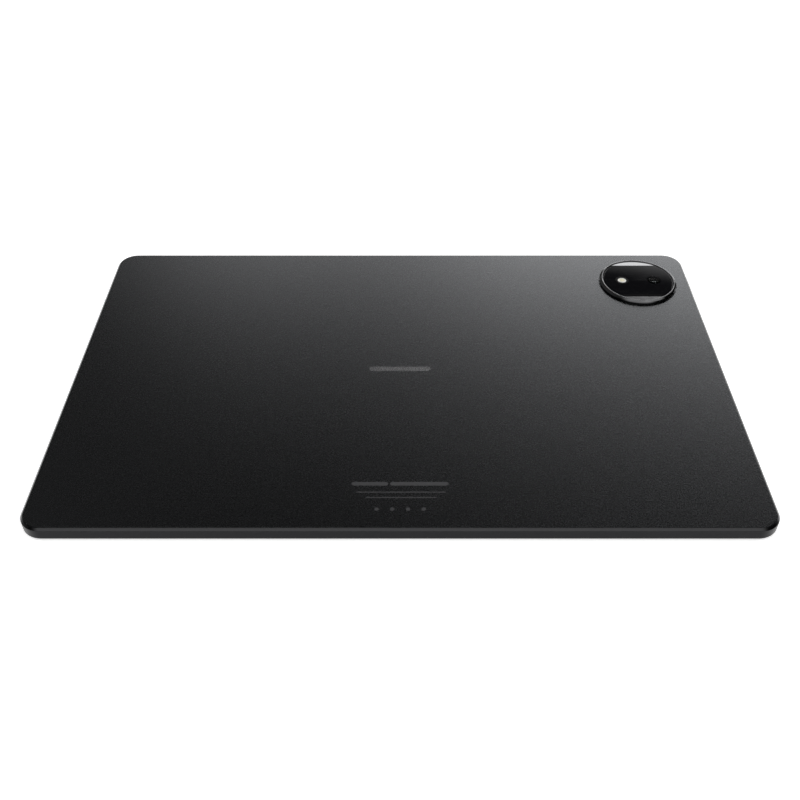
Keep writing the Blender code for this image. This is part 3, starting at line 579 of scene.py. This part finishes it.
def make_materials():
    """One material for each slot of the record, and a few for details."""
    clear = clean_glass("clear_window_glass", (1, 1, 1), 0.02, IOR=1.50, Transmission_Weight=1.0)
    edge = moulded_plastic("edge_black", (0.002, 0.002, 0.002), 0.7, IOR=1.0, Specular_IOR_Level=0.0)
    return {
        "frame_metal": grained_metal("graphite_edge", (0.0205, 0.0205, 0.0220), 0.33, 0.18, 5000, 0.000002),
        # The chamfer material is the frame metal made lighter: a painted highlight
        "chamfer": grained_metal("graphite_chamfer_highlight", (0.067, 0.067, 0.0695), 0.24, 0.08, 5000, 0.000001),
        "cover_metal": grained_metal("graphite_cover", (0.0875, 0.0900, 0.0935), 0.27, 0.12, 2600, 0.000003),
        "camera_trim": turned_metal("dark_polish", (0.12, 0.12, 0.123), 0.16, ISLAND),
        "plate": turned_metal("plate_polish", (0.098, 0.098, 0.100), 0.06, ISLAND),
        "black_glass": clean_glass("black_window_glass", (0.005, 0.005, 0.006), 0.03, IOR=1.52).material,
        "front_glass": front_glass_material(),
        "clear_glass": clear.material,
        "lens_coat": coated_lens("lens_coat", (0.012, 0.018, 0.018), LENS, 1.9 * MM),
        "diffuser": milky_diffuser("flash_diffuser", FLASH),
        "black_plastic": moulded_plastic("fine_black_plastic", (0.012, 0.012, 0.013), 0.5),
        "matt_black": moulded_plastic("matt_black", (0.002, 0.002, 0.002), 0.7, Specular_IOR_Level=0.15),
        "edge_black": edge,
        "seal": moulded_plastic("black_seal", (0.015, 0.015, 0.015), 0.75),
        "panel_metal": grained_metal("panel_back", (0.20, 0.20, 0.21), 0.4, 0.1, 3000, 0.000002),
        "polyimide": amber_film("amber_film"),
        "circuit_board": circuit_board("green_board"),
        "chip": moulded_plastic("chip_resin", (0.02, 0.02, 0.02), 0.45),
        "plated_steel": grained_metal("plated_steel", (0.55, 0.55, 0.54), 0.28, 0.08, 3000, 0.000002),
        "battery_foil": wrinkled_foil("battery_foil"),
        "graphite_sheet": moulded_plastic("graphite_sheet", (0.05, 0.05, 0.05), 0.55, 2500),
        "port_steel": grained_metal("port_steel", (0.42, 0.42, 0.42), 0.3, 0.08, 3000, 0.000002),
        "fine_mesh": woven_mesh("speaker_cloth", (0.010, 0.010, 0.010)),
        "copper": wound_copper("copper"),
        "gold": grained_metal("contact_gold", (0.80, 0.56, 0.24), 0.25, 0.05, 5000, 0.000001),
        "pale_inlay": grained_metal("pale_inlay", (0.27, 0.27, 0.275), 0.27, 0.04, 5000, 0.000001),
        "faint_print": moulded_plastic("faint_print", (0.030, 0.030, 0.032), 0.5),
    }


LOOKS = make_materials()


# --- Enclosure -----------------------------------------------------------------------------------------


def frame_section():
    """(inset, height) pairs round the frame, from the underside of the web to its upper side."""
    soft = 0.08 * MM
    screen_side = []
    for step in range(1, 11):
        turn = math.radians(9 * step)
        screen_side.append((EDGE_ROUND * (1 - math.sin(turn)), LIP_Z + EDGE_ROUND * (1 - math.cos(turn))))
    inner = filleted([
        (FRONT_WALL, WEB_Z[0]),
        (FRONT_WALL, GLASS_Z[1] + 0.15 * MM),
        (GLASS_SEAT, GLASS_Z[1] + 0.15 * MM),
        (GLASS_SEAT, LIP_Z, soft),
        (EDGE_ROUND, LIP_Z),
    ])
    outer = filleted([
        screen_side[-1],
        (0, SHELF_Z, 2 * soft),
        (CHAMFER, SHELF_Z + CHAMFER, soft / 2),
        (COVER_SEAT, SHELF_Z + CHAMFER),
        (COVER_SEAT, SHELF_Z),
        (BACK_WALL, SHELF_Z),
        (BACK_WALL, WEB_Z[1]),
    ])
    return inner + [Vector(point) for point in screen_side[:-1]] + outer


def wall_cutter():
    """Everything that opens the side walls: speaker slots, port, key slots and microphone holes."""
    lofts = []
    half_x, half_y = BODY_X / 2, BODY_Y / 2
    through = BACK_WALL + 0.5 * MM

    def add_mouth(outline_at, depth, outward, point):
        place = wall_place(outward, point)
        lofts.append([[place @ corner for corner in loop] for loop in mouth(outline_at, depth)])

    def pill_at(length, height, shift=0.0):
        return lambda inset: pill(length - 2 * inset, height - 2 * inset, 10, (shift, 0))

    def round_hole(inset):
        return circle(MICROPHONE_RADIUS - inset, 24)

    first = -(GRILLE_SLOTS - 1) / 2 * GRILLE_PITCH
    for side, out in (("left", -1), ("right", 1)):
        for end in ("upper", "lower"):
            mesh = middle(f"grille_mesh_{side}_{end}")
            for number in range(GRILLE_SLOTS):
                shape = pill_at(*GRILLE_SLOT, first + GRILLE_PITCH * number)
                add_mouth(shape, through, (out, 0, 0), (out * half_x, mesh.y, mesh.z))
    add_mouth(pill_at(*PORT_HOLE), PORT_DEPTH, (-1, 0, 0), (-half_x, PORT.y, PORT.z))
    power, volume = key_cap("power_key"), key_cap("volume_rocker")
    grow = 2 * KEY_GAP
    power_at = (half_x, power[0].y, power[0].z)
    volume_at = (volume[0].x, half_y, volume[0].z)
    add_mouth(pill_at(power[1] + grow, power[2] + grow), through, (1, 0, 0), power_at)
    add_mouth(pill_at(volume[1] + grow, volume[2] + grow), through, (0, 1, 0), volume_at)
    for side in ("left", "right"):
        hole = middle(f"microphone_{side}")
        add_mouth(round_hole, through, (0, 1, 0), (hole.x, half_y, hole.z))
    return mesh_object("wall_cutter", lofts, Matrix(), False)


def key_cap(node):
    """Centre, length and height of a key's cap, which is smaller than its flange."""
    low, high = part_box(node)
    long = max(high.x - low.x, high.y - low.y)
    return (low + high) / 2, long - KEY_FLANGE, KEY_HEIGHT


def make_frame():
    """The frame, with a painted highlight round the back: its up-facing chamfer is a lighter copy of the
    frame metal.
    """
    rim = piece(
        "frame_rim", LOOKS["frame_metal"], [body_loops(frame_section())], ["mid_frame"],
        holes=[wall_cutter()],
    )
    rim.data.materials.append(LOOKS["chamfer"])
    # The up-facing chamfer faces get the lighter copy of the frame metal: a painted highlight
    least, most = CHAMFER_HIGHLIGHT_FACING_UP
    for face in rim.data.polygons:
        if least < face.normal.z < most and face.center.z > SHELF_Z - 0.1 * MM:
            face.material_index = 1


def make_cover():
    """The back plate: a softly rounded edge, a locating rib below and a slot for the camera."""
    rib = (BACK_WALL + 0.3 * MM, BACK_WALL + 1.1 * MM)
    seat = COVER_Z[0] + 0.35 * MM
    section = filleted([
        (rib[1], seat),
        (rib[1], COVER_Z[0]),
        (rib[0], COVER_Z[0]),
        (rib[0], seat),
        (COVER_EDGE, seat),
        (COVER_EDGE, COVER_Z[1], 0.12 * MM),
        (COVER_EDGE + 0.3 * MM, COVER_Z[1]),
    ])
    opening = pill(*CAMERA_SLOT, 12, (ISLAND.x, ISLAND.y))
    hole = mesh_object("cover_hole", [prism(opening, COVER_Z[0] - MM, COVER_Z[1] + MM)], Matrix(), False)
    piece(
        "back_plate", LOOKS["cover_metal"], [body_loops(section)], ["back_cover"],
        holes=[hole],
    )


def ring_of_body(outer, inner, low, high):
    """A ring with a square section that follows the body's outline."""
    return body_loops([(outer, low), (outer, high), (inner, high), (inner, low)])


def make_front():
    """The front glass with rounded edges, and its gasket."""
    low, high = GLASS_Z
    section = filleted([
        (GLASS_EDGE + 1.2 * MM, low),
        (GLASS_EDGE, low, 0.28 * MM),
        (GLASS_EDGE, high, 0.06 * MM),
        (GLASS_EDGE + 0.3 * MM, high),
    ], 6)
    piece("front_pane", LOOKS["front_glass"], [body_loops(section)], ["front_glass"])
    rim_low, rim_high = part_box("glass_gasket")
    outer = BODY_HIGH.x - rim_high.x
    rim = ring_of_body(outer, outer + 0.2 * MM, rim_low.z, rim_high.z)
    piece("pane_gasket", LOOKS["seal"], [rim], ["glass_gasket"], ring=True)


def make_marks():
    """Plain bars and dots in place of any mark or label on the back."""
    low, high = COVER_Z[1] - MARK_DEPTH, COVER_Z[1] + MARK_HEIGHT
    x, y, long, tall = CENTRE_BAR
    bar = prism(pill(long, tall, 8, (x, y)), low, high)
    piece("centre_bar", LOOKS["pale_inlay"], [bar])
    lines = [prism(pill(long, tall, 6, (x, y)), low, high) for x, y, long, tall in LABEL_BARS]
    dots = [prism(circle(LABEL_DOT_RADIUS, 24, (x, LABEL_DOT_Y)), low, high) for x in LABEL_DOTS_X]
    piece("label_bars", LOOKS["faint_print"], lines + dots)


# --- Camera island -------------------------------------------------------------------------------------


def make_bezel():
    """The turned rim: an upright wall, a chamfer in two facets, a level crest and a steep step inside."""
    crest_end = RIM_CREST - RIM_CREST_WIDTH
    section = filleted([
        (RIM_INNER, PLATE_Z - 0.4 * MM),
        (RIM_INNER, ISLAND_LOW),
        (ISLAND_RADIUS, ISLAND_LOW, 0.1 * MM),
        (ISLAND_RADIUS, ISLAND_HIGH - RIM_WALL_DROP, 0.08 * MM),
        (RIM_FACETS_MEET, ISLAND_HIGH - RIM_FACETS_DROP, 0.10 * MM),
        (RIM_CREST, ISLAND_HIGH, 0.06 * MM),
        (crest_end, ISLAND_HIGH, 0.04 * MM),
        (crest_end - 0.10 * MM, ISLAND_HIGH - 0.02 * MM, 0.04 * MM),
        (RIM_INNER, ISLAND_HIGH - RIM_STEP_DROP),
        (RIM_INNER, PLATE_Z - 0.2 * MM),
    ], 6)
    rim = turned(section, ISLAND_STEPS, (ISLAND.x, ISLAND.y))
    piece("island_rim", LOOKS["camera_trim"], [rim], ["camera_bezel"], ring=True)


def make_island_floor():
    """The dark bed below the window and the plates, with a well each for the lens and the flash."""
    floor_top = WINDOW_Z[0] - 0.08 * MM
    floor = prism(circle(RIM_INNER - 0.02 * MM, 96, (ISLAND.x, ISLAND.y)), ISLAND_LOW, floor_top)
    holes = [
        turned([(radius, 0), (radius, 0.01)], 64, (centre.x, centre.y))
        for centre, radius in ((LENS, LENS_WELL), (FLASH, FLASH_WELL))
    ]
    cutter = mesh_object("floor_holes", holes, Matrix(), False)
    piece("island_floor", LOOKS["black_plastic"], [floor], holes=[cutter])


def plate_grid(mesh, way, height_at):
    """Vertices over the segment between the window's straight side and the rim, row by row outwards."""
    reach = math.sqrt(PLATE_RADIUS**2 - PLATE_CHORD**2)
    grid = []
    for column in range(PLATE_COLUMNS + 1):
        x = -reach + 2 * reach * column / PLATE_COLUMNS
        far = math.sqrt(max(PLATE_RADIUS**2 - x**2, 0.0))
        depth = max(far, PLATE_CHORD + 1e-6) - PLATE_CHORD
        line = []
        for row in range(PLATE_ROWS + 1):
            y = PLATE_CHORD + depth * row / PLATE_ROWS
            line.append(mesh.verts.new((ISLAND.x + x, ISLAND.y + way * y, height_at(y))))
        grid.append(line)
    return grid


def plate_mesh(name, way, start, fall):
    """One plate: its underside, its gently sloping top and the walls between their four edges."""
    mesh = bmesh.new()
    low = plate_grid(mesh, way, lambda y: WINDOW_Z[0] - 0.06 * MM)
    high = plate_grid(mesh, way, lambda y: start - fall * (y - PLATE_CHORD))
    for grid in (low, high):
        for here, there in zip(grid, grid[1:]):
            for row in range(PLATE_ROWS):
                mesh.faces.new((here[row], there[row], there[row + 1], here[row + 1]))
    edges = [[(column, row) for column in range(PLATE_COLUMNS + 1)] for row in (0, PLATE_ROWS)]
    edges += [[(column, row) for row in range(PLATE_ROWS + 1)] for column in (0, PLATE_COLUMNS)]
    for edge in edges:
        for (c0, r0), (c1, r1) in zip(edge, edge[1:]):
            mesh.faces.new((low[c0][r0], low[c1][r1], high[c1][r1], high[c0][r0]))
    bmesh.ops.recalc_face_normals(mesh, faces=mesh.faces)
    data = bpy.data.meshes.new(name)
    mesh.to_mesh(data)
    mesh.free()
    return data


def make_plates():
    """Two polished plates. The far one falls away from the window, and the near one rises a little."""
    for name, (way, start, fall) in PLATES.items():
        made = bpy.data.objects.new(name, plate_mesh(name, way, start, fall))
        bpy.context.scene.collection.objects.link(made)
        made.data.materials.append(LOOKS["plate"])
        smooth(made)
        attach(made, HOUSING)


def make_window():
    """The black window of the island, with holes for the lens pane and the flash."""
    def outline_at(inset):
        return clipped_disc(WINDOW_RADIUS - inset, WINDOW_CHORD - inset, WINDOW_CORNER)

    low, high = WINDOW_Z
    loops = soft_prism(outline_at, low, high, WINDOW_EDGE, 5)
    holes = []
    for centre, radius in ((LENS, LENS_HOLE), (FLASH, FLASH_HOLE)):
        wide = radius + HOLE_CHAMFER
        profile = [(radius, low - MM), (radius, high - HOLE_CHAMFER), (wide, high), (wide, high + MM)]
        holes.append(turned(profile, 72, (centre.x, centre.y)))
    cutter = mesh_object("window_holes", holes, Matrix(), False)
    piece(
        "island_window", LOOKS["black_glass"], [loops], ["camera_glass"],
        place=Matrix.Translation((ISLAND.x, ISLAND.y, 0)), holes=[cutter],
    )


def make_lens_pane():
    """The clear pane over the lens. Its edge and the rim of its underside are blackened."""
    low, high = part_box("camera_window")
    radius = (high.x - low.x) / 2
    clear_radius = radius - 0.8 * MM
    edge = 0.03 * MM
    loops = turned([
        (clear_radius, low.z),
        (radius, low.z),
        (radius, high.z - edge),
        (radius - edge, high.z),
        (clear_radius, high.z),
    ], 96, (LENS.x, LENS.y))
    pane = piece("lens_pane", LOOKS["clear_glass"], [loops], ["camera_window"])
    pane.data.materials.append(LOOKS["edge_black"])
    for face in pane.data.polygons:
        from_axis = (face.center.xy - LENS.xy).length
        if from_axis > clear_radius and face.normal.z < 0.9:
            face.material_index = 1


def make_lens():
    """A stepped barrel and its coated front element, a spherical cap."""
    low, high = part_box("camera_lens_barrel")
    outer = (high.x - low.x) / 2
    steps = [
        (outer, low.z),
        (outer, high.z - 0.35 * MM),
        (outer - 0.25 * MM, high.z),
        (outer - 0.8 * MM, high.z),
        (outer - 0.95 * MM, high.z - 0.14 * MM),
        (outer - 1.15 * MM, high.z - 0.14 * MM),
        (outer - 1.3 * MM, high.z - 0.28 * MM),
        (outer - 1.5 * MM, high.z - 0.28 * MM),
        (outer - 1.5 * MM, high.z - 0.45 * MM),
    ]
    barrel = turned(steps, 96, (LENS.x, LENS.y))
    piece("lens_barrel", LOOKS["matt_black"], [barrel], ["camera_lens_barrel"], LENS_BODY)
    rim = outer - 1.55 * MM
    base = high.z - 0.40 * MM
    curve = 5.0 * MM
    drop = math.sqrt(curve**2 - rim**2)
    rings = 12
    slopes = [math.asin(rim / curve) * (1 - ring / rings) for ring in range(rings)]
    bulge = [(curve * math.sin(slope), base + curve * math.cos(slope) - drop) for slope in slopes]
    dome = turned([(rim, base - 0.03 * MM), *bulge], 64, (LENS.x, LENS.y))
    piece("lens_element", LOOKS["lens_coat"], [dome], body=LENS_BODY)


def make_flash():
    """The milky flash window, with the fine rings of its lens on top."""
    low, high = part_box("flash_window")
    radius = (high.x - low.x) / 2 - 0.2 * MM
    section = [(radius, low.z), (radius, high.z - 0.22 * MM), (radius - 0.12 * MM, high.z - 0.10 * MM)]
    rings = 7
    inner = radius - 0.2 * MM
    for ring in range(rings):
        start = inner * (1 - ring / rings)
        stop = inner * (1 - (ring + 0.75) / rings)
        section.append((start, high.z - 0.11 * MM))
        section.append((max(stop, 0.1 * MM), high.z - 0.02 * MM))
    flash = turned(section, 72, (FLASH.x, FLASH.y))
    piece("flash_lens", LOOKS["diffuser"], [flash], ["flash_window"])
    collar_top = WINDOW_Z[1] - 0.04 * MM
    collar = turned([
        (radius + 0.03 * MM, WINDOW_Z[0]),
        (radius + 0.03 * MM, collar_top - 0.12 * MM),
        (radius + 0.15 * MM, collar_top),
        (FLASH_HOLE - 0.02 * MM, collar_top),
        (FLASH_HOLE - 0.02 * MM, WINDOW_Z[0]),
    ], 72, (FLASH.x, FLASH.y))
    piece("flash_collar", LOOKS["matt_black"], [collar], ring=True)


# --- Keys, port and grilles ----------------------------------------------------------------------------


def make_key(node, name, outward, body):
    """A key with its flange inside the wall and a softly rounded cap outside."""
    low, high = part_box(node)
    centre, length, height = key_cap(node)
    out = Vector(outward)
    proud = high.dot(out) - BODY_HIGH.dot(out)
    back = low.dot(out) - BODY_HIGH.dot(out)
    point = Vector([BODY_HIGH[axis] if out[axis] else centre[axis] for axis in range(3)])
    flange_top = back + 0.5 * MM

    def cap_at(inset):
        return pill(length - 2 * inset, height - 2 * inset, 12)

    flange = pill(length + KEY_FLANGE, height + 0.6 * MM, 12)
    loops = [at_height(flange, back), at_height(flange, flange_top), at_height(cap_at(0), flange_top)]
    loops += soft_prism(cap_at, flange_top + 0.1 * MM, proud, 0.22 * MM, 5)
    place = wall_place(outward, point)
    piece(name, LOOKS["frame_metal"], [loops], [node], body, place)


def make_port():
    """The socket's shell with a rolled mouth, its tongue and two rows of contacts."""
    low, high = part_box("usb_shell")
    place = wall_place((-1, 0, 0), (BODY_LOW.x, PORT.y, PORT.z))
    mouth_z = BODY_LOW.x - low.x
    floor_z = BODY_LOW.x - high.x
    long, tall = high.y - low.y, high.z - low.z
    wall = 0.30 * MM

    def shell_at(inset):
        return pill(long - 2 * inset, tall - 2 * inset, 12)

    section = filleted([
        (0.0, floor_z),
        (0.0, mouth_z, 0.1 * MM),
        (wall - 0.1 * MM, mouth_z, 0.05 * MM),
        (wall, mouth_z - 0.3 * MM),
        (wall, floor_z + 0.4 * MM),
    ])
    loops = [at_height(shell_at(inset), z) for inset, z in section]
    piece("port_shell", LOOKS["port_steel"], [loops], ["usb_shell"], place=place)

    low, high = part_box("usb_tongue")
    root, tip = BODY_LOW.x - high.x, BODY_LOW.x - low.x
    blade = (6.69 * MM, 0.70 * MM)
    base_end = root + 1.3 * MM

    def blade_at(inset):
        return pill(blade[0] - 2 * inset, blade[1] - 2 * inset, 12)

    loops = [at_height(pill(high.y - low.y, high.z - low.z, 12), z) for z in (root, base_end)]
    loops.append(at_height(blade_at(0), base_end))
    loops += soft_prism(blade_at, base_end + 0.1 * MM, tip, 0.05 * MM)
    piece("port_tongue", LOOKS["black_plastic"], [loops], ["usb_tongue"], place=place)
    contacts = []
    pitch, width, thick = 0.5 * MM, 0.25 * MM, 0.03 * MM
    start, stop = base_end + 0.6 * MM, tip - 0.5 * MM
    for row in (1, -1):
        height = row * blade[1] / 2
        for number in range(12):
            x = (number - 5.5) * pitch
            outline = rounded(width, 2 * thick, 0.02 * MM, 2, (x, height))
            contacts.append(prism(outline, start, stop))
    piece("port_contacts", LOOKS["gold"], contacts, place=place)


# --- Carried-over parts --------------------------------------------------------------------------------


def dress_cad_nodes():
    """Gives each CAD node the material of its slot. The replaced ones stay hidden."""
    for entry in frame["record"]["subparts"]:
        data = frame["nodes"][entry["node"]].data
        data.materials.clear()
        data.materials.append(LOOKS[entry["material_slot"]])


# --- Studio --------------------------------------------------------------------------------------------


def make_floor():
    """A wide sheet of pale paper that glows a little, so that it stays white round the tablet."""
    half = 6.0
    corners = [(-half, -half, 0), (half, -half, 0), (half, half, 0), (-half, half, 0)]
    data = bpy.data.meshes.new("studio_floor")
    data.from_pydata(corners, [], [(0, 1, 2, 3)])
    floor = bpy.data.objects.new("studio_floor", data)
    floor.location.z = -0.05 * MM
    bpy.context.scene.collection.objects.link(floor)
    paper = Shader("pale_paper", (0.88, 0.88, 0.88), 0.9, Specular_IOR_Level=0.1, Emission_Strength=0.6)
    paper.set("Emission Color", (1, 1, 1, 1))
    paper.link(paper.blend(paper.noise(40, 3.0), (0.87, 0.87, 0.87), (0.89, 0.89, 0.89)), "Base Color")
    data.materials.append(paper.material)


def make_world():
    """A dark studio with soft panels of light, so that the satin back keeps its depth."""
    world = bpy.data.worlds.new("studio")
    bpy.context.scene.world = world
    world.use_nodes = True
    tree = world.node_tree

    def math_node(operation, *values):
        made = tree.nodes.new("ShaderNodeMath")
        made.operation = operation
        for socket, value in zip(made.inputs, values):
            if isinstance(value, bpy.types.NodeSocket):
                tree.links.new(value, socket)
            else:
                socket.default_value = value
        return made.outputs[0]

    def inside(angle, half, soft):
        """1 near the middle of a panel, and 0 past its edge."""
        made = tree.nodes.new("ShaderNodeMapRange")
        made.interpolation_type = "SMOOTHSTEP"
        made.inputs["From Min"].default_value = math.radians(half - soft)
        made.inputs["From Max"].default_value = math.radians(half + soft)
        made.inputs["To Min"].default_value = 1.0
        made.inputs["To Max"].default_value = 0.0
        tree.links.new(math_node("ABSOLUTE", angle), made.inputs["Value"])
        return made.outputs["Result"]

    split = tree.nodes.new("ShaderNodeSeparateXYZ")
    tree.links.new(tree.nodes.new("ShaderNodeTexCoord").outputs["Generated"], split.inputs[0])
    x, y, z = split.outputs
    azimuth = math_node("ARCTAN2", x, y)
    elevation = math_node("ARCSINE", z)
    total = 0.0
    for turn, wide, wide_soft, rise, tall, tall_soft, brightness in PANELS.values():
        across = math_node("WRAP", math_node("SUBTRACT", azimuth, math.radians(turn)), math.pi, -math.pi)
        above = math_node("SUBTRACT", elevation, math.radians(rise))
        shape = math_node("MULTIPLY", inside(across, wide, wide_soft), inside(above, tall, tall_soft))
        total = math_node("MULTIPLY_ADD", shape, brightness, total)
    tree.links.new(total, tree.nodes["Background"].inputs["Strength"])
    tree.nodes["Background"].inputs["Color"].default_value = (1, 1, 1, 1)


def make_lights():
    for name, (azimuth, elevation, distance, width, height, power) in LAMPS.items():
        lamp = bpy.data.lights.new(name, "AREA")
        lamp.shape = "RECTANGLE"
        lamp.size = width
        lamp.size_y = height
        lamp.energy = power
        made = bpy.data.objects.new(name, lamp)
        made.visible_glossy = False
        turn, rise = math.radians(azimuth), math.radians(elevation)
        toward = Vector((math.sin(turn) * math.cos(rise), math.cos(turn) * math.cos(rise), math.sin(rise)))
        made.location = toward * distance
        made.rotation_euler = toward.to_track_quat("Z", "Y").to_euler()
        bpy.context.scene.collection.objects.link(made)


def make_camera():
    data = bpy.data.cameras.new("view")
    data.lens = VIEW_LENS
    data.sensor_width = VIEW_SENSOR
    data.clip_start = 0.01
    camera = bpy.data.objects.new("view", data)
    camera.location = VIEW_PLACE
    camera.rotation_euler = (math.radians(90 - VIEW_PITCH), 0, 0)
    bpy.context.scene.collection.objects.link(camera)
    bpy.context.scene.camera = camera


def main():
    make_camera()
    make_frame()
    make_cover()
    make_front()
    make_marks()
    make_bezel()
    make_island_floor()
    make_plates()
    make_window()
    make_lens_pane()
    make_lens()
    make_flash()
    make_key("power_key", "power_button", (1, 0, 0), POWER_BODY)
    make_key("volume_rocker", "volume_button", (0, 1, 0), VOLUME_BODY)
    make_port()
    dress_cad_nodes()
    make_floor()
    make_world()
    make_lights()
    bpy.context.scene.view_settings.view_transform = "Standard"


main()
